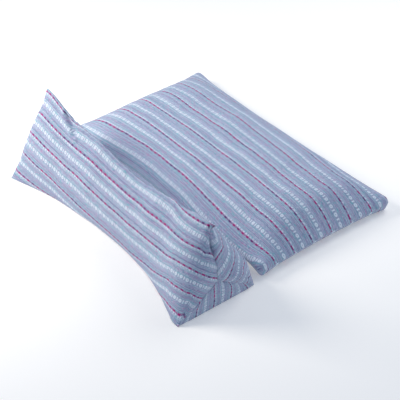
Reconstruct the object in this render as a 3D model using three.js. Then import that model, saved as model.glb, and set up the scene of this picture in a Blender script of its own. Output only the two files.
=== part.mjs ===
// Hull-filled pillow in two parts of one striped cotton cloth: a flat head cushion and, laid along its
// long edge, a three-sided neck bolster that rests on one of its faces.
// Millimetres, +Z up, both parts lie on z = 0. X runs along the length, the bolster is on the -Y side.
// The origin is the middle of the pair's outline, on the surface that it lies on.
import * as THREE from "three";

// ---- driving sizes -------------------------------------------------------------------------------
const LENGTH = 500; // flat cushion, along X
const SEAM_Z = 15; // height of the flat cushion's edge seam
const CROWN_Z = 66; // top of its crown
const EDGE_ROLL = 26; // how far in from the seam its underside comes down to the surface
const CAP_DOME = 8; // how far the bolster's end closures puff out at their middle
const CAP_RINGS = [0.22, 0.48, 0.74]; // rings between an end's rim and its middle
const FLAT_CELLS = [38, 22]; // grid of the flat cushion, along and across
const AROUND = 42; // points round the bolster, a multiple of three
const REST = 3; // the lowest part of a section that the surface presses flat

// The bolster's sections: x along its length, the two bottom corners and the crest across (y), the crest's
// height, how soft the corners are, how far the section leans along X for each mm of height, and how far its
// back and its front swell.
const SECTION = ["x", "near", "far", "crest", "high", "soft", "lean", "back", "front"];
const BOLSTER = [
  [38, -171, -14, -84, 147, 1.5, 0, 2, 2],
  [52, -168, -15, -85, 148, 3, 0, 2, 3],
  [80, -161, -15, -87, 142, 6, 0, -2, 5],
  [140, -148, -12, -89, 131, 9, 0, -4, 6],
  [190, -143, -9, -88.5, 129, 10, 0, -4, 6.5],
  [240, -139, -7, -88.5, 120, 11, 0, -4, 7],
  [295, -138, -7, -89.5, 117, 11, -0.02, -5, 7],
  [370, -144, -8, -90, 129, 11, -0.05, -4, 7],
  [430, -157, -9, -92, 137, 9, -0.08, 2, 7],
  [470, -169, -13, -94, 146, 6, -0.11, 6, 7],
  [494, -176, -17, -95, 147, 4.5, -0.12, 9, 6],
  [505, -176, -20, -95, 144, 3.5, -0.13, 8, 4],
];
// The flat cushion's near edge: share of its length, and how far across (y).
const NEAR_EDGE = [
  [0, -10],
  [0.3, -13],
  [0.62, -12],
  [0.8, -7.5],
  [0.9, -5.5],
  [1, -9],
];
const STATIONS_PER_GAP = [1, 2, 3, 2, 2, 2, 2, 3, 3, 2, 1]; // cuts in each gap of the table

// ---- helpers -------------------------------------------------------------------------------------
const column = (name) => BOLSTER.map((row) => row[SECTION.indexOf(name)]);

// Shape-preserving cubic through (xs, ys): no overshoot between the table's rows.
function smoothThrough(xs, ys) {
  const n = xs.length,
    h = [],
    s = [];
  for (let i = 0; i < n - 1; i++) {
    h.push(xs[i + 1] - xs[i]);
    s.push((ys[i + 1] - ys[i]) / h[i]);
  }
  const m = xs.map((_, i) => {
    if (i === 0) return s[0];
    if (i === n - 1) return s[n - 2];
    if (s[i - 1] * s[i] <= 0) return 0;
    const a = 2 * h[i] + h[i - 1],
      b = h[i] + 2 * h[i - 1];
    return (a + b) / (a / s[i - 1] + b / s[i]);
  });
  return (x) => {
    let i = 0;
    while (i < n - 2 && x > xs[i + 1]) i++;
    const t = (x - xs[i]) / h[i],
      u = 1 - t;
    return (
      ys[i] * (1 + 2 * t) * u * u +
      ys[i + 1] * t * t * (3 - 2 * t) +
      h[i] * t * u * (m[i] * u - m[i + 1] * t)
    );
  };
}

function solid(name, positions, triangles, material) {
  const geometry = new THREE.BufferGeometry();
  geometry.setAttribute("position", new THREE.Float32BufferAttribute(positions, 3));
  geometry.setIndex(triangles);
  geometry.computeVertexNormals();
  const mesh = new THREE.Mesh(geometry, material);
  mesh.name = name;
  return mesh;
}

// ---- flat head cushion ---------------------------------------------------------------------------
// Two panels that meet in a seam all round. Between the corners the edges are drawn in a little.
function flatCushion(material) {
  const nearEdge = smoothThrough(
    NEAR_EDGE.map((row) => row[0]),
    NEAR_EDGE.map((row) => row[1]),
  );
  const [nx, ny] = FLAT_CELLS;
  const spread = (i, n) => -Math.cos((Math.PI * i) / n) * 0.45 + ((2 * i) / n - 1) * 0.55; // closer at the edges
  const outline = (s, t) => {
    const u = (1 + s) / 2,
      v = (1 + t) / 2;
    const near = nearEdge(u),
      far = 268 + 4 * u - 6.5 * (1 - s * s) * (1 - 0.6 * s);
    const left = 1 + 8 * (1 - t * t),
      right = LENGTH + 2 - 4 * (1 - t * t);
    const x = left + (right - left) * u,
      y = near + (far - near) * v;
    return { x, y, left: x - left, right: right - x, near: y - near, far: far - y };
  };
  const at = (i, j, top) => {
    const p = outline(spread(i, nx), spread(j, ny));
    const fill =
      Math.tanh(p.left / 42) * Math.tanh(p.right / 38) * Math.tanh(p.near / 50) * Math.tanh(p.far / 46);
    const inwards = Math.min(p.left, p.right, p.near, p.far);
    const z = top
      ? SEAM_Z + (CROWN_Z - SEAM_Z) * fill
      : SEAM_Z * Math.max(0, 1 - inwards / EDGE_ROLL) ** 2;
    return [p.x, p.y, z];
  };
  const positions = [],
    index = { top: new Map(), under: new Map() };
  const key = (i, j) => i * (ny + 1) + j;
  const rim = (i, j) => i === 0 || j === 0 || i === nx || j === ny;
  for (let i = 0; i <= nx; i++)
    for (let j = 0; j <= ny; j++) {
      index.top.set(key(i, j), positions.length / 3);
      positions.push(...at(i, j, true));
      if (rim(i, j)) index.under.set(key(i, j), index.top.get(key(i, j)));
      else {
        index.under.set(key(i, j), positions.length / 3);
        positions.push(...at(i, j, false));
      }
    }
  const triangles = [];
  for (let i = 0; i < nx; i++)
    for (let j = 0; j < ny; j++) {
      const cell = (side) =>
        [[i, j], [i + 1, j], [i + 1, j + 1], [i, j + 1]].map(([a, b]) => index[side].get(key(a, b)));
      // the diagonal runs from the corner outwards, so that no cell at a corner is flat and double
      const turn = i < nx / 2 === j < ny / 2;
      const [a, b, c, d] = cell("top"),
        [e, f, g, h] = cell("under");
      if (turn) triangles.push(a, b, c, a, c, d, e, g, f, e, h, g);
      else triangles.push(a, b, d, b, c, d, e, h, f, f, h, g);
    }
  return solid("flat_cushion", positions, triangles, material);
}

// ---- three-sided neck bolster --------------------------------------------------------------------
// A row of soft-cornered triangles along X. Each end closes from its three rim corners to its middle.
function neckBolster(material) {
  const xs = column("x");
  const curve = Object.fromEntries(SECTION.slice(1).map((name) => [name, smoothThrough(xs, column(name))]));
  const section = (x) => {
    const v = Object.fromEntries(Object.entries(curve).map(([name, f]) => [name, f(x)]));
    const corners = [
      [v.near, 0],
      [v.far, 0],
      [v.crest, v.high],
    ];
    const third = AROUND / 3;
    const side = (i) => {
      const a = corners[i],
        b = corners[(i + 1) % 3];
      return { a, d: [b[0] - a[0], b[1] - a[1]], length: Math.hypot(b[0] - a[0], b[1] - a[1]) };
    };
    const sides = [0, 1, 2].map(side);
    const step = (sides[0].length + sides[1].length + sides[2].length) / AROUND;
    const sharp = Array.from({ length: AROUND }, (_, j) => {
      const { a, d } = sides[Math.floor(j / third)],
        f = (j % third) / third;
      return [a[0] + d[0] * f, a[1] + d[1] * f];
    });
    const weight = Array.from({ length: AROUND }, (_, k) =>
      Math.exp(-0.5 * ((Math.min(k, AROUND - k) * step) / v.soft) ** 2),
    );
    const total = weight.reduce((a, b) => a + b, 0);
    const round = sharp.map((_, j) => {
      let y = 0,
        z = 0;
      for (let k = 0; k < AROUND; k++) {
        const p = sharp[(j + k) % AROUND];
        y += (p[0] * weight[k]) / total;
        z += (p[1] * weight[k]) / total;
      }
      const i = Math.floor(j / third),
        f = (j % third) / third,
        { d, length } = sides[i];
      const swell = [0, v.back, v.front][i] * Math.max(0, Math.sin(Math.PI * f)) ** 1.5;
      return [y + (d[1] / length) * swell, z - (d[0] / length) * swell];
    });
    const lowest = Math.min(...round.map((p) => p[1]));
    return round.map(([y, z]) => {
      const up = z - lowest;
      const pressed = up < REST ? 0 : Math.max(0, up - REST * Math.exp(-(up - REST) / 8));
      return [x + v.lean * pressed, y, pressed];
    });
  };
  const places = [xs[0]];
  for (let i = 0; i < xs.length - 1; i++)
    for (let k = 1; k <= STATIONS_PER_GAP[i]; k++)
      places.push(xs[i] + ((xs[i + 1] - xs[i]) * k) / STATIONS_PER_GAP[i]);
  const body = places.map(section);

  // an end's rings run from its rim to its middle, puffed outwards
  const cap = (rim, outward) => {
    const middle = [0, 1, 2].map((c) => rim.reduce((a, p) => a + p[c], 0) / rim.length);
    const puff = (f) => outward * CAP_DOME * (1 - (1 - f) ** 2);
    return {
      rings: CAP_RINGS.map((f) =>
        rim.map((p) => [
          p[0] + (middle[0] - p[0]) * f + puff(f),
          p[1] + (middle[1] - p[1]) * f,
          p[2] + (middle[2] - p[2]) * f,
        ]),
      ),
      tip: [middle[0] + puff(1), middle[1], middle[2]],
    };
  };
  const left = cap(body[0], -1),
    right = cap(body[body.length - 1], 1);
  const rings = [...left.rings.slice().reverse(), ...body, ...right.rings];
  const positions = rings.flat(2),
    triangles = [];
  const at = (r, j) => r * AROUND + (j % AROUND);
  for (let r = 0; r < rings.length - 1; r++)
    for (let j = 0; j < AROUND; j++) {
      triangles.push(at(r, j), at(r, j + 1), at(r + 1, j + 1));
      triangles.push(at(r, j), at(r + 1, j + 1), at(r + 1, j));
    }
  const tipLeft = positions.length / 3,
    tipRight = tipLeft + 1,
    last = rings.length - 1;
  positions.push(...left.tip, ...right.tip);
  for (let j = 0; j < AROUND; j++) {
    triangles.push(tipLeft, at(0, j + 1), at(0, j));
    triangles.push(tipRight, at(last, j), at(last, j + 1));
  }
  return solid("neck_bolster", positions, triangles, material);
}

// ---- the pair ------------------------------------------------------------------------------------
const pillow = new THREE.Group();
pillow.add(
  flatCushion(new THREE.MeshStandardMaterial({ color: 0x98a9c6, roughness: 0.92, metalness: 0 })),
  neckBolster(new THREE.MeshStandardMaterial({ color: 0x8fa0bf, roughness: 0.92, metalness: 0 })),
);
const box = new THREE.Box3().setFromObject(pillow);
pillow.position.set(-(box.min.x + box.max.x) / 2, -(box.min.y + box.max.y) / 2, 0);

export default pillow;
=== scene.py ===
"""Hull-filled pillow in two parts of one striped cotton: a flat head cushion and a three-sided neck bolster."""
import math

import bpy
import numpy as np
from mathutils import Matrix


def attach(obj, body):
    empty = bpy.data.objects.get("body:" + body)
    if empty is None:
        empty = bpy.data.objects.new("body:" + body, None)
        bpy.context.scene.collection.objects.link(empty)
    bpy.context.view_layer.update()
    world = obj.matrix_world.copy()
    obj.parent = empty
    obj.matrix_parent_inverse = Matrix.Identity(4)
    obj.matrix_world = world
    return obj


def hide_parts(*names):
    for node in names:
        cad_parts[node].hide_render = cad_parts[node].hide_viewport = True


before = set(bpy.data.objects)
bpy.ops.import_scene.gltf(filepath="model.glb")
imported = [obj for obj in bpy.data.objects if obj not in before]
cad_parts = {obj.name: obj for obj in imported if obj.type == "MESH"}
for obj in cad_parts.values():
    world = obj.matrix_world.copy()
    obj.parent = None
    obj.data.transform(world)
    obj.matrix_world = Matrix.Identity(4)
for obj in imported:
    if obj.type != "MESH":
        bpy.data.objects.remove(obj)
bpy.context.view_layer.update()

MM = 0.001
SHIFT = np.array([-253.9, -46.5, 0.0])  # from the plan frame, in mm, to the row frame


# ---------------------------------------------------------------------------- camera
def camera():
    az, el = math.radians(51.427), math.radians(38.157)
    back = np.array([math.sin(az) * math.cos(el), -math.cos(az) * math.cos(el), math.sin(el)])
    right = np.array([math.cos(az), math.sin(az), 0.0])
    up = np.cross(back, right)
    data = bpy.data.cameras.new("camera")
    data.sensor_width = 36.0
    data.lens = 36.0 * 1355.96 / 400.0
    data.clip_end = 20.0
    cam = bpy.data.objects.new("camera", data)
    bpy.context.scene.collection.objects.link(cam)
    place = (np.array([1673.88, -1064.124, 1394.652]) + SHIFT) * MM
    m = np.eye(4)
    m[:3, 0], m[:3, 1], m[:3, 2], m[:3, 3] = right, up, back, place
    cam.matrix_world = Matrix(m.tolist())
    bpy.context.scene.camera = cam


camera()


# ---------------------------------------------------------------------------- small tools
def smooth_through(xs, ys):
    """A monotone cubic through a table's column."""
    xs, ys = np.asarray(xs, float), np.asarray(ys, float)
    h, s = np.diff(xs), np.diff(ys) / np.diff(xs)
    m = np.zeros(len(xs))
    m[0], m[-1] = s[0], s[-1]
    for i in range(1, len(xs) - 1):
        if s[i - 1] * s[i] > 0:
            a, b = 2 * h[i] + h[i - 1], h[i] + 2 * h[i - 1]
            m[i] = (a + b) / (a / s[i - 1] + b / s[i])

    def f(x):
        x = np.asarray(x, float)
        i = np.clip(np.searchsorted(xs, x, side="right") - 1, 0, len(xs) - 2)
        t = (x - xs[i]) / h[i]
        u = 1 - t
        return (ys[i] * (1 + 2 * t) * u * u + ys[i + 1] * t * t * (3 - 2 * t)
                + h[i] * t * u * (m[i] * u - m[i + 1] * t))

    return f


def step(lo, hi, x):
    t = np.clip((x - lo) / (hi - lo), 0, 1)
    return t * t * (3 - 2 * t)


def bump(x, at, wide):
    return np.exp(-(((x - at) / wide) ** 2))


def waves(seed, n, shortest, longest):
    """A smooth random field of place, as a sum of plane waves, about -1 to 1."""
    r = np.random.default_rng(seed)
    length = np.exp(r.uniform(math.log(shortest), math.log(longest), n))
    way = r.normal(size=(n, 3))
    way /= np.linalg.norm(way, axis=1)[:, None]
    k = way * (2 * math.pi / length)[:, None]
    phase, size = r.uniform(0, 2 * math.pi, n), (length / longest) ** 0.5
    size /= np.sqrt((size ** 2).sum() / 2)

    def f(p):
        out = np.zeros(p.shape[:-1])
        for ki, ph, si in zip(k, phase, size):
            out += si * np.sin(p @ ki + ph)
        return out * 0.6

    return f


class Cloth:
    """A closed mesh being made: points in mm, faces, and the cloth's own coordinates (along, across, in mm) at each face corner."""

    def __init__(self):
        self.points, self.faces, self.weave, self.flat = [], [], [], []

    def object(self, name, materials):
        me = bpy.data.meshes.new(name)
        p = (np.array(self.points) + SHIFT) * MM
        me.from_pydata(p.tolist(), [], [list(map(int, f)) for f in self.faces])
        layer = me.uv_layers.new(name="weave")
        layer.data.foreach_set("uv", (np.concatenate(self.weave) * MM).astype(np.float32).ravel())
        flat = me.uv_layers.new(name="OFBake")
        flat.data.foreach_set("uv", np.concatenate(self.flat).astype(np.float32).ravel())
        me.uv_layers.active = layer
        layer.active_render = True
        me.polygons.foreach_set("use_smooth", np.ones(len(me.polygons), bool))
        for m in materials:
            me.materials.append(m)
        me.update()
        ob = bpy.data.objects.new(name, me)
        bpy.context.scene.collection.objects.link(ob)
        return ob


# ---------------------------------------------------------------------------- three-sided neck bolster
# Its sections in mm: x, the two bottom corners and the crest across, the crest's height, how soft the corners are,
# the lean along x for each mm of height, and how far the back and the front swell.
BOLSTER = np.array([
    #  x, near, far, crest, high, soft, lean, back, front
    (38, -171, -14, -84, 147, 1.5, 0.00, 2, 2),
    (52, -168, -15, -85, 148, 3.0, 0.00, 2, 3),
    (80, -161, -15, -87, 142, 6.0, 0.00, -2, 5),
    (140, -148, -12, -89, 131, 9.0, 0.00, -4, 6),
    (190, -143, -9, -88.5, 129, 10.0, 0.00, -4, 6.5),
    (240, -139, -7, -88.5, 120, 11.0, 0.00, -4, 7),
    (295, -138, -7, -89.5, 117, 11.0, -0.02, -5, 7),
    (370, -144, -8, -90, 129, 11.0, -0.05, -4, 7),
    (430, -157, -9, -92, 137, 9.0, -0.08, 2, 7),
    (470, -169, -13, -94, 146, 6.0, -0.11, 6, 7),
    (494, -176, -17, -95, 147, 4.5, -0.12, 9, 6),
    (505, -176, -20, -95, 144, 3.5, -0.13, 8, 4)], float)
PITCH_BOLSTER = 35.5
SIDES = (4.60, 4.36, 4.47)  # stripe periods across the base, the back and the front
FIRST = 1.06  # where the first magenta stripe is, from the near bottom edge
# where five magenta stripes of the front face lie, in periods of an even lay, at stations along the bolster
FRONT_STRIPES = np.array([
    #  x, sixth, seventh, eighth, ninth, tenth, eleventh, twelfth
    (38, 6.00, 7.00, 8.04, 9.02, 10.01, 11.00, 11.88),
    (94, 6.00, 7.00, 8.06, 9.05, 10.14, 11.25, 12.15),
    (120, 6.00, 7.00, 8.02, 9.06, 10.19, 11.36, 12.28),
    (142, 6.00, 6.98, 7.82, 9.07, 10.25, 11.50, 12.43),
    (165, 6.00, 6.94, 7.70, 9.08, 10.30, 11.61, 12.56),
    (219, 6.00, 6.90, 7.62, 9.10, 10.42, 11.83, 12.85),
    (282, 6.00, 6.90, 7.60, 9.09, 10.47, 11.92, 12.95),
    (323, 6.00, 6.90, 7.62, 9.12, 10.50, 11.96, 12.97),
    (365, 6.00, 6.94, 7.66, 9.23, 10.48, 11.81, 12.80),
    (400, 6.00, 6.96, 7.78, 9.21, 10.39, 11.60, 12.55),
    (428, 5.95, 7.02, 8.04, 9.19, 10.29, 11.35, 12.30),
    (461, 5.75, 6.95, 8.13, 9.16, 10.08, 11.06, 12.00),
    (490, 5.56, 6.84, 8.08, 9.03, 9.97, 11.02, 11.93),
    (507, 5.50, 6.78, 7.96, 8.80, 9.92, 11.15, 12.05),
    (527, 5.43, 6.78, 7.94, 8.90, 9.97, 11.12, 12.05),
    (552, 5.33, 6.78, 7.94, 8.95, 10.00, 11.10, 12.03)], float)
THIRD = 78  # points across one face
CAP = 24  # rings of an end closure
END_RUN = 47.0  # cloth from a rim to the middle of an end
END_TIP = (2.5, 0.0, 1.0)  # where the right end's middle lies, from its flat place
END_PUSH = 0.007
HEEL = 8.0  # how far the lower back stands out at the right end
CORNER_ROUND = 3.2
SAG = 9.0  # and along the middle, where it leans on the flat part


def bolster_stations():
    xs = [38.0]
    while xs[-1] < 505:
        d = min(xs[-1] - 38, 505 - xs[-1])
        xs.append(xs[-1] + 1.0 + 1.2 * float(step(2, 24, d)))
    xs = np.array(xs)
    return 38 + (xs - 38) * (505 - 38) / (xs[-1] - 38)


def bolster_section(xs):
    n = 3 * THIRD
    near, far, crest, high, soft, lean, back, front = (
        smooth_through(BOLSTER[:, 0], BOLSTER[:, i])(xs)[:, None] for i in range(1, 9))
    f = (np.arange(THIRD) / THIRD)[None, :]
    corner = [(near, 0 * near), (far, 0 * far), (crest, high)]
    ys, zs = [], []
    for i in range(3):
        (ay, az), (by, bz) = corner[i], corner[(i + 1) % 3]
        ys.append(ay + (by - ay) * f)
        zs.append(az + (bz - az) * f)
    y, z = np.concatenate(ys, 1), np.concatenate(zs, 1)
    around = sum(np.hypot(corner[(i + 1) % 3][0] - corner[i][0], corner[(i + 1) % 3][1] - corner[i][1]) for i in range(3))
    k = np.minimum(np.arange(n), n - np.arange(n))[None, :]
    w = np.exp(-0.5 * (k * (around / n) / soft) ** 2)
    w /= w.sum(1, keepdims=True)
    fw = np.fft.fft(w, axis=1)
    y = np.real(np.fft.ifft(np.fft.fft(y, axis=1) * fw, axis=1))
    z = np.real(np.fft.ifft(np.fft.fft(z, axis=1) * fw, axis=1))
    for i, swell in ((1, back), (2, front)):
        (ay, az), (by, bz) = corner[i], corner[(i + 1) % 3]
        run = np.hypot(by - ay, bz - az)
        s = slice(i * THIRD, (i + 1) * THIRD)
        g = np.sin(math.pi * f) ** 1.5 * swell
        y[:, s] += (bz - az) / run * g
        z[:, s] -= (by - ay) / run * g
    up = z - z.min(1, keepdims=True)
    z = np.where(up < 3, 0, np.maximum(0, up - 3 * np.exp(-(up - 3) / 8)))
    return np.stack([xs[:, None] + lean * z, y, z], -1)


def relax(grid, free, rounds, push=None):
    """A skin's smoothing of a grid of points that closes on itself across, where free is 1, with the fill's push in mm."""
    for i in range(rounds):
        a, b = np.roll(grid, 1, 1), np.roll(grid, -1, 1)
        c, d = np.concatenate([grid[:1], grid[:-1]]), np.concatenate([grid[1:], grid[-1:]])
        move = ((a + b + c + d) / 4 - grid) * 0.5
        if push is not None:
            out = np.cross(b - a, d - c)
            out /= np.maximum(np.linalg.norm(out, axis=-1, keepdims=True), 1e-9)
            move += out * push[..., None]
        grid = grid + free[..., None] * move
        if push is not None:
            grid[..., 2] = np.maximum(grid[..., 2], 0)
    return grid


def normals(grid):
    a, b = np.roll(grid, 1, 1), np.roll(grid, -1, 1)
    c, d = np.concatenate([grid[:1], grid[:-1]]), np.concatenate([grid[1:], grid[-1:]])
    out = np.cross(b - a, d - c)
    return out / np.maximum(np.linalg.norm(out, axis=-1, keepdims=True), 1e-9)


def neck_bolster(materials):
    n = 3 * THIRD
    xs = bolster_stations()
    body = bolster_section(xs)
    rho = (np.arange(1, CAP) / CAP)
    mid = np.arange(n) % THIRD / THIRD - 0.5  # place across its face

    def cap(rim, outward):
        centre = rim[[0, THIRD, 2 * THIRD]].mean(0)
        centre = np.array([centre[0] + outward * 3.0, centre[1], centre[2]])
        r = rho[:, None]
        p = rim[None] * (1 - r)[..., None] + centre * r[..., None]
        # how far a point is from the nearest arm of the three-armed seam
        off = (0.5 - np.abs(mid))[None] * (1 - r) * 160 * 0.5
        puffed = 11.0 * (1 - np.exp(-off / 13)) * np.minimum(1, r * 6) ** 0.5 * (0.35 + 0.65 * (1 - r))
        p[..., 0] += outward * puffed
        return p, centre, off

    right, tip_r, off_r = cap(body[-1], 1)
    left, tip_l, off_l = cap(body[0], -1)
    tip_r = tip_r + np.array(END_TIP)
    right = right + (rho[:, None] ** 1.5)[..., None] * np.array(END_TIP)
    grid = np.concatenate([left[::-1], body, right])
    rows = len(grid)
    first, last = CAP - 1, CAP - 1 + len(body) - 1
    r = np.arange(rows)
    col = np.arange(n) % THIRD
    ear = np.minimum(np.minimum(col, THIRD - col), 30)[None, :] * np.ones((rows, 1))

    # left end: the folds between the faces and the flaps are round, the ears and the seams' arms stay
    from_rim = np.abs(r - first)[:, None] * np.ones((1, n))
    free = step(1.0, 16, ear) * (1 - step(14, 26, from_rim))
    tipped = np.concatenate([[tip_l[None].repeat(n, 0)], grid, [tip_r[None].repeat(n, 0)]])
    free = np.concatenate([[np.zeros(n)], free, [np.zeros(n)]])
    tipped = relax(tipped, free, 110)

    # right end: the fill rounds the faces over into the flaps, with only the corners held
    start = last - 70
    block = tipped[start + 1:]
    rr = r[start:]
    beyond = np.concatenate([(rr > last), [True]])[:, None] * np.ones((1, n))
    from_rim = np.abs(np.concatenate([rr, [rows]]) - last)[:, None] * np.ones((1, n))
    corner = np.hypot(np.minimum(col, THIRD - col)[None, :] * 2.0, from_rim * 1.6)
    face = (np.arange(n) // THIRD)[None, :] * np.ones((len(block), 1))
    to_far = np.abs(np.arange(n) - THIRD)[None, :]
    blunt = np.where(to_far < 30, 0.3, 1.0)
    on_body = step(1.0 * blunt, 14 * blunt, ear[:1]) * (1 - step(24, 52, from_rim)) * (face > 0)
    in_cap = step(0.5 * blunt, 16 * blunt, corner)
    hold = np.where(beyond > 0, in_cap, on_body)
    hold[-1] = hold[0] = 0
    push = np.where(face == 0, 0.6, 1.0) * (0.35 + 0.65 * step(0, 26, ear[:1]))
    block = relax(block, hold, 1300, push * END_PUSH)
    tipped[start + 1:] = block
    grid = tipped[1:-1]

    grid_flat = grid[..., 2] < 0.05

    # the three-armed seam lies in a groove, deeper where the crest's ear is tucked in
    side = normals(grid)
    groove = np.exp(-((ear * 2.0 * np.ones_like(ear)) / 4.2) ** 2) * np.where(to_far < 30, 0.45, 1.0)
    arm = np.clip((r - last) / 3.0, 0, 1)[:, None]
    crest_near = np.exp(-(((np.arange(n) - 2 * THIRD - 2) / 4.6) ** 2))[None, :] * np.exp(-(((r - last - 3) / 5.6) ** 2))[:, None]
    grid = grid - side * (groove * arm * 1.5 + crest_near * 17.0)[..., None]
    pinch = waves(3, 18, 9, 26)(grid) * np.exp(-ear / 7.0) * np.clip((r - last + 14) / 14.0, 0, 1)[:, None]
    grid = grid + side * (pinch * 1.2)[..., None]
    grid[..., 2] = np.maximum(grid[..., 2], 0)

    # heel: the lower back of the right end stands out before it meets the surface
    f = np.clip((np.arange(n) - THIRD) / THIRD, -1, 2)[None, :]
    along_x = np.concatenate([np.zeros(CAP - 1), xs, 505 + 2.0 * np.arange(1, CAP)])[:, None]
    sag = SAG * np.exp(-(((f - 0.20) / 0.16) ** 2)) * step(60, 150, along_x) * (1 - step(400, 450, along_x))
    heel = sag + HEEL * np.exp(-(((f - 0.19) / 0.15) ** 2)) * step(410, 480, along_x) * (1 - step(512, 545, along_x))
    grid = grid + side * heel[..., None]

    # a small fold runs down from the crest near the left end, and the crest's cloth is a little crumpled
    q = np.interp(np.arange(n), [2 * THIRD, n], [7.9, 12.37])[None, :] * np.ones((rows, 1))
    fx, fq = np.array([102.0, 8.08]), np.array([136.0, 8.52])
    px, py = along_x - fx[0], (q - fx[1]) * 31
    dx, dy = fq[0] - fx[0], (fq[1] - fx[1]) * 31
    t = np.clip((px * dx + py * dy) / (dx * dx + dy * dy), 0, 1)
    off_fold = np.hypot(px - t * dx, py - t * dy)
    below = np.where(py * dx - px * dy > 0, 1.0, 0.0)
    fold = -6.0 * np.exp(-((off_fold / 3.0) ** 2)) + 2.6 * np.exp(-(((off_fold - 8) / 5) ** 2)) * below
    crumple = waves(21, 40, 7, 26)(grid)
    near_crest = np.exp(-(((q - 7.95) / 0.75) ** 2)) * step(70, 130, along_x) * (1 - step(430, 490, along_x))
    on_front = (np.arange(n) >= 2 * THIRD - 14)[None, :]
    soft_lumps = waves(22, 30, 26, 90)(grid) * step(4, 30, grid[..., 2])
    grid = grid + side * (np.where(on_front, fold + crumple * near_crest * 0.7, 0) + soft_lumps * 0.7)[..., None]
    grid[..., 2] = np.maximum(grid[..., 2], 0)
    grid[grid_flat] = np.where(np.arange(3) == 2, 0.0, grid[grid_flat])
    # the far bottom corner of the right end is round
    tip = grid[last, THIRD]
    inner = np.array([-0.75, -0.66, 0.0])
    near_tip = np.exp(-((np.linalg.norm(grid - tip, axis=-1) / 11) ** 2))
    grid = grid + near_tip[..., None] * inner * CORNER_ROUND

    # stripe coordinate round the bolster
    side_start = np.cumsum([0, *SIDES])[:3]
    v = np.concatenate([side_start[i] + SIDES[i] * np.arange(THIRD) / THIRD for i in range(3)])
    cloth = Cloth()
    cloth.points = np.concatenate([grid.reshape(-1, 3), [tip_l, tip_r]])
    tl, tr = rows * n, rows * n + 1
    u_of = np.concatenate([38 - END_RUN * rho[::-1], xs, 505 + END_RUN * rho])
    shrink = np.concatenate([1 - rho[::-1], np.ones(len(xs)), 1 - rho])

    jj = np.arange(n)
    i_of = jj // THIRD
    v0, v1 = v, np.concatenate([v[1:], [sum(SIDES)]])
    centre_v = np.array([side_start[i] + SIDES[i] / 2 for i in range(3)])[i_of]

    # the cloth has turned and spread a little on the front face, as the table gives
    run = np.linalg.norm(np.diff(grid, axis=0), axis=-1)
    length = np.zeros((rows, n))
    length[first:last + 1] = xs[:, None]
    for row in range(last - 69, rows):
        length[row] = length[row - 1] + run[row - 1]
    for row in range(first - 1, -1, -1):
        length[row] = length[row + 1] - run[row]
    at = [smooth_through(FRONT_STRIPES[:, 0], FRONT_STRIPES[:, i])(np.clip(u_of, 38, 552)) for i in range(1, 8)]

    def weave(row, which):
        across = v0 if which == 0 else v1
        across = centre_v + (across - centre_v) * shrink[row] - FIRST
        q = [c[row] for c in at]
        place = [-9, SIDES[0] - FIRST, *q, q[-1] + 2]
        across = np.interp(across, place, [-9, SIDES[0] - FIRST, 6, 7, 8, 9, 10, 11, 12, 14])
        here = length[row] if which == 0 else np.roll(length[row], -1)
        return np.stack([here, across * PITCH_BOLSTER], -1)

    span = 467 + 2 * (END_RUN + 30)

    def lay(w, tile):
        return np.stack([(w[..., 0] - (8 - END_RUN)) / span * 0.94 + 0.03, (w[..., 1] / PITCH_BOLSTER + FIRST) / sum(SIDES) * 0.94 + 0.03], -1)

    nxt = (jj + 1) % n
    for a in range(rows - 1):
        b = a + 1
        cloth.faces.append(np.stack([a * n + jj, a * n + nxt, b * n + nxt, b * n + jj], -1))
        cloth.weave.append(np.stack([weave(a, 0), weave(a, 1), weave(b, 1), weave(b, 0)], 1).reshape(-1, 2))
    quads = np.concatenate(cloth.faces)
    ends, end_weave = [], []
    for tip, row, out in ((tl, 0, -1), (tr, rows - 1, 1)):
        tip_at = tip_l if out < 0 else tip_r
        reach = length[row] + out * np.linalg.norm(grid[row] - tip_at, axis=-1)
        at_tip = np.stack([reach, (centre_v - FIRST) * PITCH_BOLSTER], -1)
        if out < 0:
            ends.append(np.stack([np.full(n, tip), row * n + nxt, row * n + jj], -1))
            end_weave.append(np.stack([at_tip, weave(row, 1), weave(row, 0)], 1).reshape(-1, 2))
        else:
            ends.append(np.stack([np.full(n, tip), row * n + jj, row * n + nxt], -1))
            end_weave.append(np.stack([at_tip, weave(row, 0), weave(row, 1)], 1).reshape(-1, 2))
    cloth.faces = [*quads.tolist(), *np.concatenate(ends).tolist()]
    cloth.weave = cloth.weave + end_weave
    cloth.flat = [lay(w, 0) for w in cloth.weave]
    return cloth, grid, rows, n


# ---------------------------------------------------------------------------- flat head cushion
SEAM_Z, CROWN_Z = 15.0, 66.0
PITCH_FLAT = 40.5
# where the magenta stripes lie on the top, across, at stations along it
FLAT_STRIPES = np.array([
    #  x, first, second, third, fourth, fifth, sixth
    (0, 19, 56.5, 94.5, 144, 186.5, 228.5),
    (60, 19.5, 57, 96, 142.5, 183, 224.5),
    (125, 23.5, 59, 98, 142, 184, 226),
    (200, 26, 59, 100, 143, 186, 228),
    (275, 24, 58.5, 99.5, 142, 185, 227),
    (350, 18.5, 55.5, 98, 138.5, 178, 223),
    (425, 14.5, 53, 95, 135, 176, 216),
    (462, 14.5, 55, 96, 139, 180, 221),
    (506, 21, 62.5, 101.5, 142.5, 185, 230)], float)
NEAR_EDGE = np.array([(0, -10), (0.3, -13), (0.62, -12), (0.8, -7.5), (0.9, -5.5), (1, -9)], float)  # part of its length, across
NX, NY = 210, 116
ROUND = 11.0  # the corners' radius in plan


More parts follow.
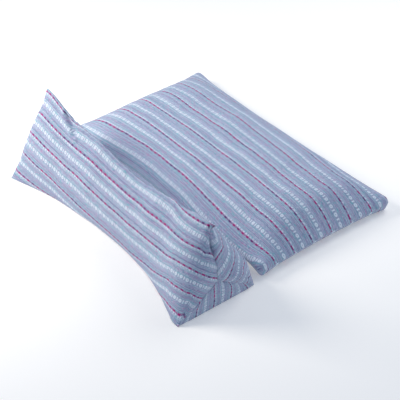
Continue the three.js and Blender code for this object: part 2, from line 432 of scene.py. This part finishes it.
def flat_stripes(u, y):
    """The stripe number, as a running figure, at each place of the top panel."""
    at = [smooth_through(FLAT_STRIPES[:, 0], FLAT_STRIPES[:, i])(u[:, 0] * 506) for i in range(1, 7)]
    out = np.zeros_like(y)
    for i in range(len(u)):
        p = np.array([c[i] for c in at])
        p = np.concatenate([[p[0] - 38 * 2, p[0] - 38], p, [p[-1] + 39, p[-1] + 78]])
        out[i] = smooth_through(p, np.arange(-2, 8))(y[i])
    return out


def flat_grid():
    def spread(n):
        i = np.arange(n + 1)
        return -np.cos(math.pi * i / n) * 0.35 + (2 * i / n - 1) * 0.65

    s, t = np.meshgrid(spread(NX), spread(NY), indexing="ij")
    u, v = (1 + s) / 2, (1 + t) / 2
    near = smooth_through(NEAR_EDGE[:, 0], NEAR_EDGE[:, 1])(u)
    far = 268 + 4 * u - 6.5 * (1 - s * s) * (1 - 0.6 * s)
    left, right = 1 + 8 * (1 - t * t), 502 - 4 * (1 - t * t)
    x, y = left + (right - left) * u, near + (far - near) * v
    dl, dr, dn, df = x - left, right - x, y - near, far - y
    straight = y
    corner = np.hypot(np.minimum(dl, dr), np.minimum(dn, df))
    fill = np.tanh(dl / 42) * np.tanh(dr / 38) * np.tanh(dn / 50) * np.tanh(df / 46)
    inwards = np.minimum(np.minimum(dl, dr), np.minimum(dn, df))
    lip = (2.5 + 7.0 * step(0.1, 0.5, u + v) * np.exp(-((corner / 34) ** 2))) * (1 - np.exp(-inwards / 2.2))
    top = SEAM_Z + (CROWN_Z - SEAM_Z - 2.5) * fill + lip
    under = SEAM_Z * np.clip(1 - inwards / (13 - 7 * np.exp(-((corner / 34) ** 2))), 0, 1) ** 2
    # the corners are rounded in plan
    sx, sy = np.where(dl < dr, 1.0, -1.0), np.where(dn < df, 1.0, -1.0)
    wx, wy = np.minimum(np.minimum(dl, dr) - ROUND, 0), np.minimum(np.minimum(dn, df) - ROUND, 0)
    both = (wx < 0) & (wy < 0)
    scale = np.where(both, np.maximum(-wx, -wy) / np.maximum(np.hypot(wx, wy), 1e-9), 1.0)
    x = x + np.where(both, sx * wx * (scale - 1), 0)
    y = y + np.where(both, sy * wy * (scale - 1), 0)
    return x, y, top, under, u, v, inwards, straight


def flat_cushion(materials):
    x, y, top, under, u, v, inwards, straight = flat_grid()
    a, b = NX + 1, NY + 1
    up = np.stack([x, y, top], -1)
    low = np.stack([x, y, under], -1)
    lump = waves(5, 26, 28, 110)
    fine = waves(8, 30, 9, 30)
    amount = step(0, 40, inwards)
    up[..., 2] += lump(up) * 1.1 * amount + fine(up) * 0.22 * step(0, 20, inwards)
    # the seam is a shallow line, and wanders a little
    wander = waves(11, 12, 60, 200)
    rim = 1 - step(0, 10, inwards)
    for g in (up, low):
        g[..., 2] += rim * wander(np.stack([x, y, 0 * x], -1)) * 1.2
        g[..., 2] = np.maximum(g[..., 2], 0)
    idx_top = np.arange(a * b).reshape(a, b)
    idx_low = a * b + np.arange(a * b).reshape(a, b)
    edge = np.zeros((a, b), bool)
    edge[0], edge[-1], edge[:, 0], edge[:, -1] = True, True, True, True
    idx_low = np.where(edge, idx_top, idx_low)
    cloth = Cloth()
    points = np.concatenate([up.reshape(-1, 3), low.reshape(-1, 3)])
    used = np.unique(np.concatenate([idx_top.ravel(), idx_low.ravel()]))
    remap = -np.ones(len(points), int)
    remap[used] = np.arange(len(used))
    cloth.points = points[used]
    idx_top, idx_low = remap[idx_top], remap[idx_low]
    w = np.stack([u * 506, flat_stripes(u, straight) * PITCH_FLAT], -1)
    w2 = np.stack([u * 506, 250 - straight], -1)
    uv_t = np.stack([0.005 + u * 0.99, 0.005 + v * 0.49], -1)
    uv_l = np.stack([0.005 + u * 0.99, 0.505 + v * 0.49], -1)

    def quads(g, flip):
        q = [g[:-1, :-1], g[1:, :-1], g[1:, 1:], g[:-1, 1:]]
        if flip:
            q = q[::-1]
        return np.stack(q, 2).reshape(-1, 4, *g.shape[2:])

    cloth.faces = np.concatenate([quads(idx_top, False), quads(idx_low, True)]).tolist()
    cloth.weave = [quads(w, False).reshape(-1, 2), quads(w2, True).reshape(-1, 2)]
    cloth.flat = [quads(uv_t, False).reshape(-1, 2), quads(uv_l, True).reshape(-1, 2)]
    return cloth


# ---------------------------------------------------------------------------- the woven cloth
class Graph:
    def __init__(self, name):
        self.mat = bpy.data.materials.new(name)
        self.mat.use_nodes = True
        self.nodes, self.links = self.mat.node_tree.nodes, self.mat.node_tree.links
        self.nodes.clear()

    def put(self, socket, value):
        if hasattr(value, "is_output"):
            self.links.new(value, socket)
        else:
            socket.default_value = value

    def math(self, op, *args):
        n = self.nodes.new("ShaderNodeMath")
        n.operation = op
        for i, a in enumerate(args):
            self.put(n.inputs[i], a)
        return n.outputs[0]

    def add(self, a, b): return self.math("ADD", a, b)
    def sub(self, a, b): return self.math("SUBTRACT", a, b)
    def mul(self, a, b): return self.math("MULTIPLY", a, b)
    def abs(self, a): return self.math("ABSOLUTE", a)
    def frac(self, a): return self.math("FRACT", a)
    def floor(self, a): return self.math("FLOOR", a)
    def max(self, a, b): return self.math("MAXIMUM", a, b)
    def min(self, a, b): return self.math("MINIMUM", a, b)

    def ramp(self, x, lo, hi, a=0.0, b=1.0):
        n = self.nodes.new("ShaderNodeMapRange")
        n.interpolation_type = "SMOOTHSTEP"
        for k, val in zip((0, 1, 2, 3, 4), (x, lo, hi, a, b)):
            self.put(n.inputs[k], val)
        return n.outputs[0]

    def join(self, x, y, z=0.0):
        n = self.nodes.new("ShaderNodeCombineXYZ")
        for s, val in zip(n.inputs, (x, y, z)):
            self.put(s, val)
        return n.outputs[0]

    def noise(self, vector, scale, detail=2.0, rough=0.5):
        n = self.nodes.new("ShaderNodeTexNoise")
        self.put(n.inputs["Vector"], vector)
        n.inputs["Scale"].default_value = scale
        n.inputs["Detail"].default_value = detail
        n.inputs["Roughness"].default_value = rough
        return n.outputs["Fac"]

    def random(self, vector):
        n = self.nodes.new("ShaderNodeTexWhiteNoise")
        n.noise_dimensions = "3D"
        self.put(n.inputs["Vector"], vector)
        return n.outputs["Value"]

    def colours(self, x, stops, smooth=False):
        n = self.nodes.new("ShaderNodeValToRGB")
        cr = n.color_ramp
        cr.interpolation = "LINEAR" if smooth else "CONSTANT"
        while len(cr.elements) > 1:
            cr.elements.remove(cr.elements[-1])
        for i, (at, c) in enumerate(stops):
            e = cr.elements[0] if i == 0 else cr.elements.new(at)
            e.position = at
            e.color = (*c, 1)
        self.put(n.inputs["Fac"], x)
        return n.outputs["Color"]

    def mix(self, fac, a, b, mode="MIX"):
        n = self.nodes.new("ShaderNodeMix")
        n.data_type = "RGBA"
        n.blend_type = mode
        self.put(n.inputs["Factor"], fac)
        for socket, val in ((n.inputs["A"], a), (n.inputs["B"], b)):
            pass
        ins = [s for s in n.inputs if s.type == "RGBA"]
        for socket, val in zip(ins, (a, b)):
            if isinstance(val, tuple):
                val = (*val, 1) if len(val) == 3 else val
            self.put(socket, val)
        return [s for s in n.outputs if s.type == "RGBA"][0]


def srgb(r, g, b):
    return tuple(((c / 255) / 12.92 if c / 255 <= 0.04045 else ((c / 255 + 0.055) / 1.055) ** 2.4) for c in (r, g, b))


PALE, MID, GREY, DEEP = srgb(194, 200, 216), srgb(176, 184, 205), srgb(156, 167, 192), srgb(124, 138, 170)
TEAL, LILAC, ROSE = srgb(148, 190, 202), srgb(176, 172, 204), srgb(194, 156, 192)
LINES = [  # the fine warp stripes between two magenta ones: place in the period, tone
    (0.000, MID), (0.040, PALE), (0.080, TEAL), (0.120, PALE), (0.150, GREY), (0.178, PALE), (0.198, DEEP),
    (0.222, MID), (0.240, ROSE), (0.258, DEEP), (0.282, PALE), (0.300, GREY), (0.330, PALE), (0.360, GREY),
    (0.385, TEAL), (0.412, MID), (0.590, GREY), (0.618, PALE), (0.640, LILAC), (0.664, MID), (0.684, GREY),
    (0.708, PALE), (0.728, DEEP), (0.750, ROSE), (0.768, MID), (0.788, DEEP), (0.810, PALE), (0.834, MID),
    (0.860, GREY), (0.885, PALE), (0.915, TEAL), (0.950, MID)]


def striped_cotton(name, pitch, repeat=11.25):
    g = Graph(name)
    uv = g.nodes.new("ShaderNodeUVMap")
    uv.uv_map = "weave"
    sep = g.nodes.new("ShaderNodeSeparateXYZ")
    g.links.new(uv.outputs[0], sep.inputs[0])
    # metres to mm, and a little wander, as yarns have
    raw = g.join(sep.outputs[0], sep.outputs[1])
    drift = g.sub(g.noise(raw, 26.0, 2.0), 0.5)
    along = g.mul(sep.outputs[0], 1000.0)
    across = g.add(g.mul(sep.outputs[1], 1000.0), g.mul(drift, 1.2))
    vv = g.mul(across, 1.0 / pitch)
    uu = g.mul(along, 1.0 / repeat)
    row = g.floor(g.add(vv, 0.5))
    from_red = g.mul(g.sub(g.frac(g.add(vv, 0.5)), 0.5), pitch)  # mm from the nearest magenta stripe
    from_white = g.mul(g.sub(g.frac(vv), 0.5), pitch)
    fu = g.frac(uu)

    # ground: fine warp stripes, each yarn a little uneven along its length
    base = g.colours(g.frac(vv), LINES)
    yarn = g.floor(g.mul(across, 1 / 1.15))
    tone = g.random(g.join(yarn, row))
    streak = g.noise(g.join(g.mul(along, 0.035), g.mul(yarn, 3.17)), 1.0, 2.0, 0.6)
    base = g.mix(g.ramp(tone, 0.65, 1.0, 0.0, 0.40), base, srgb(202, 210, 226))
    base = g.mix(g.ramp(tone, 0.35, 0.0, 0.0, 0.42), base, srgb(104, 120, 158))
    base = g.mix(g.ramp(streak, 0.50, 0.70, 0.0, 0.55), base, srgb(136, 184, 198))
    base = g.mix(g.ramp(streak, 0.50, 0.30, 0.0, 0.42), base, srgb(160, 156, 196))
    # slubs: short pink, teal, pale and dark flecks
    fleck = g.noise(g.join(g.mul(along, 0.15), g.mul(across, 0.42), 3.0), 1.0, 1.0)
    base = g.mix(g.ramp(fleck, 0.61, 0.71, 0.0, 0.60), base, srgb(198, 136, 180))
    fleck2 = g.noise(g.join(g.mul(along, 0.13), g.mul(across, 0.40), 19.0), 1.0, 1.0)
    base = g.mix(g.ramp(fleck2, 0.60, 0.70, 0.0, 0.70), base, srgb(112, 190, 196))
    fleck3 = g.noise(g.join(g.mul(along, 0.24), g.mul(across, 0.50), 37.0), 1.0, 1.0)
    base = g.mix(g.ramp(fleck3, 0.58, 0.70, 0.0, 0.45), base, srgb(214, 220, 234))
    base = g.mix(g.ramp(fleck3, 0.42, 0.30, 0.0, 0.45), base, srgb(108, 124, 162))

    # magenta stripe: a strong bead and a weak one in turn on a thin line, with pale dots along its far side
    strong_at = g.floor(uu)
    pick = g.random(g.join(strong_at, row, 4.0))
    strong_u = g.mul(g.abs(g.sub(fu, 0.5)), repeat)
    weak_u = g.mul(g.sub(0.5, g.abs(g.sub(fu, 0.5))), repeat)
    dash_v = g.abs(from_red)
    strong = g.mul(g.ramp(strong_u, 3.3, 2.2), g.ramp(dash_v, 1.9, 1.0))
    weak = g.mul(g.mul(g.ramp(weak_u, 1.9, 0.9), g.ramp(dash_v, 1.6, 0.8)), 0.50)
    thread = g.mul(g.ramp(dash_v, 1.6, 0.6), 0.45)
    dash = g.max(strong, weak)
    blotch = g.noise(g.join(g.mul(along, 0.024), g.mul(row, 7.3), 1.0), 1.0, 2.0)
    hue = g.add(g.mul(pick, 0.50), g.mul(blotch, 0.90))
    magenta = g.mix(g.ramp(hue, 0.42, 0.80), srgb(96, 56, 116), srgb(176, 34, 118))
    dot_u = g.mul(g.abs(g.sub(g.frac(g.add(g.mul(uu, 2.0), 0.5)), 0.5)), repeat / 2)
    dot = g.mul(g.ramp(dot_u, 2.0, 1.0), g.ramp(g.abs(g.sub(from_red, 2.7)), 1.7, 0.8))
    dot = g.mul(dot, g.ramp(g.random(g.join(g.floor(g.mul(uu, 2.0)), row, 9.0)), 0.0, 1.0, 0.35, 1.0))
    col = g.mix(thread, base, srgb(140, 84, 144))
    col = g.mix(g.mul(dash, 0.96), col, magenta)
    col = g.mix(g.mul(dot, 0.85), col, srgb(236, 232, 246))

    # white stripe: bars and small ovals in turn, woven in
    bar_u = g.abs(g.mul(g.sub(fu, 0.25), repeat))
    bar_v = g.abs(from_white)
    bar = g.mul(g.ramp(bar_u, 1.25, 0.65), g.ramp(bar_v, 3.0, 2.3))
    ring_u = g.mul(g.sub(fu, 0.75), repeat / 2.6)
    ring_v = g.mul(from_white, 1 / 2.85)
    ring_r = g.math("SQRT", g.add(g.mul(ring_u, ring_u), g.mul(ring_v, ring_v)))
    ring = g.ramp(g.abs(g.sub(ring_r, 0.64)), 0.48, 0.30)
    motif = g.max(bar, ring)
    patch = g.ramp(g.noise(g.join(g.mul(along, 0.05), row, 8.0), 1.0, 1.0), 0.2, 0.6, 0.75, 1.0)
    col = g.mix(g.mul(g.mul(motif, patch), 0.88), col, srgb(232, 240, 248))

    # plain weave: warp and weft in turn, and the figured yarns a little proud
    wu, wv = g.mul(along, math.pi / 0.9), g.mul(across, math.pi / 0.62)
    weave = g.mul(g.math("SINE", wu), g.math("SINE", wv))
    # painted shade and highlight: the colour is made darker in the weave's dips and lighter on its crossings, following
    # the same relief as the bump
    painted_weave_shade = g.ramp(weave, -1.0, 1.0, 0.95, 1.03)
    n = g.nodes.new("ShaderNodeVectorMath")
    n.operation = "SCALE"
    g.links.new(col, n.inputs[0])
    g.put(n.inputs["Scale"], painted_weave_shade)
    col = n.outputs[0]
    height = g.add(g.mul(weave, 0.2), g.add(g.mul(motif, 0.7), g.add(g.mul(dash, 0.7), g.mul(dot, 0.5))))
    height = g.add(height, g.mul(g.sub(tone, 0.5), 0.5))
    crumple = g.noise(g.join(g.mul(along, 0.05), g.mul(across, 0.09), 2.0), 1.0, 3.0, 0.55)
    height = g.add(height, g.mul(crumple, 3.0))
    bump_node = g.nodes.new("ShaderNodeBump")
    bump_node.inputs["Strength"].default_value = 0.55
    bump_node.inputs["Distance"].default_value = 0.0004
    g.links.new(height, bump_node.inputs["Height"])

    out = g.nodes.new("ShaderNodeOutputMaterial")
    bsdf = g.nodes.new("ShaderNodeBsdfPrincipled")
    g.links.new(col, bsdf.inputs["Base Color"])
    g.links.new(g.ramp(motif, 0.0, 1.0, 0.9, 0.72), bsdf.inputs["Roughness"])
    bsdf.inputs["Specular IOR Level"].default_value = 0.25
    bsdf.inputs["Sheen Weight"].default_value = 0.18
    bsdf.inputs["Sheen Roughness"].default_value = 0.45
    bsdf.inputs["Sheen Tint"].default_value = (0.86, 0.90, 1.0, 1.0)
    g.links.new(bump_node.outputs[0], bsdf.inputs["Normal"])
    g.links.new(bsdf.outputs[0], out.inputs[0])
    return g.mat


cotton_flat = striped_cotton("striped_cotton_flat", PITCH_FLAT)
cotton_bolster = striped_cotton("striped_cotton_bolster", PITCH_BOLSTER)

cushion = flat_cushion([cotton_flat]).object("head_cushion", [cotton_flat])
made, grid, rows, around = neck_bolster([cotton_bolster])
bolster = made.object("three_sided_bolster", [cotton_bolster])

for piece, node, slot in ((cushion, "flat_cushion", "striped_cotton_flat"), (bolster, "neck_bolster", "striped_cotton_bolster")):
    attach(piece, "root")
    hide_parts(node)


# ---------------------------------------------------------------------------- floor and light
def plain(name, colour, rough):
    m = bpy.data.materials.new(name)
    m.use_nodes = True
    b = m.node_tree.nodes["Principled BSDF"]
    b.inputs["Base Color"].default_value = (*colour, 1)
    b.inputs["Roughness"].default_value = rough
    b.inputs["Specular IOR Level"].default_value = 0.1
    return m


def floor():
    me = bpy.data.meshes.new("floor")
    r = 6.0
    me.from_pydata([(-r, -r, -0.0004), (r, -r, -0.0004), (r, r, -0.0004), (-r, r, -0.0004)], [], [(0, 1, 2, 3)])
    white = plain("floor", (0.95, 0.92, 0.88), 0.95)
    white.node_tree.nodes["Principled BSDF"].inputs["Emission Color"].default_value = (1.0, 0.97, 0.93, 1)
    white.node_tree.nodes["Principled BSDF"].inputs["Emission Strength"].default_value = 0.20
    me.materials.append(white)
    ob = bpy.data.objects.new("floor", me)
    bpy.context.scene.collection.objects.link(ob)


def lamp(name, size, power, place, target, colour=(1, 1, 1)):
    data = bpy.data.lights.new(name, "AREA")
    data.shape, data.size, data.energy, data.color = "DISK", size, power, colour
    ob = bpy.data.objects.new(name, data)
    bpy.context.scene.collection.objects.link(ob)
    back = np.array(place, float) - np.array(target, float)
    back /= np.linalg.norm(back)
    right = np.cross([0, 0, 1], back)
    right /= np.linalg.norm(right)
    m = np.eye(4)
    m[:3, 0], m[:3, 1], m[:3, 2], m[:3, 3] = right, np.cross(back, right), back, place
    ob.matrix_world = Matrix(m.tolist())


floor()
lamp("key", 0.5, 8.0, (-0.62, -0.55, 0.66), (0, 0, 0.05), (1.0, 0.955, 0.885))
lamp("far", 0.8, 4.4, (0.05, 0.75, 0.80), (0, 0.08, 0.05), (0.97, 0.965, 0.94))
world = bpy.data.worlds.new("world")
bpy.context.scene.world = world
world.use_nodes = True
world.node_tree.nodes["Background"].inputs[0].default_value = (0.68, 0.85, 1.14, 1)
world.node_tree.nodes["Background"].inputs[1].default_value = 0.41
bpy.context.scene.view_settings.view_transform = "Standard"
bpy.context.scene.view_settings.look = "None"
